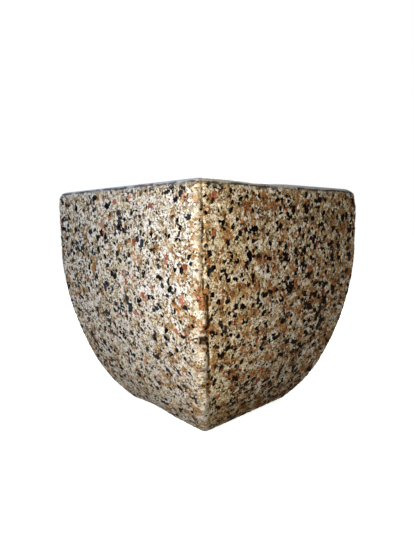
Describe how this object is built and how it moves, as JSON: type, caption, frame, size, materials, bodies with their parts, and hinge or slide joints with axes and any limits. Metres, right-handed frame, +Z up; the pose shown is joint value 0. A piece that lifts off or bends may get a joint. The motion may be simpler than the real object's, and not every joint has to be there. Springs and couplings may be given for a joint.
{
  "type": "exposed-aggregate stone block",
  "caption": "Square block of exposed-aggregate stone with a flat head, walls that fall straight and then sweep in to a smaller square foot, and eased edges.",
  "frame": {"origin": "middle of the square foot, on the surface that the block stands on", "axes": "+Z up through the middle of foot and head; X and Y square to the walls"},
  "size_m": [0.3, 0.3, 0.3],
  "materials": {
    "aggregate": "washed chips of pale, rust and black stone"
  },
  "bodies": {
    "root": {"stone_block": "aggregate"}
  },
  "joints": []
}
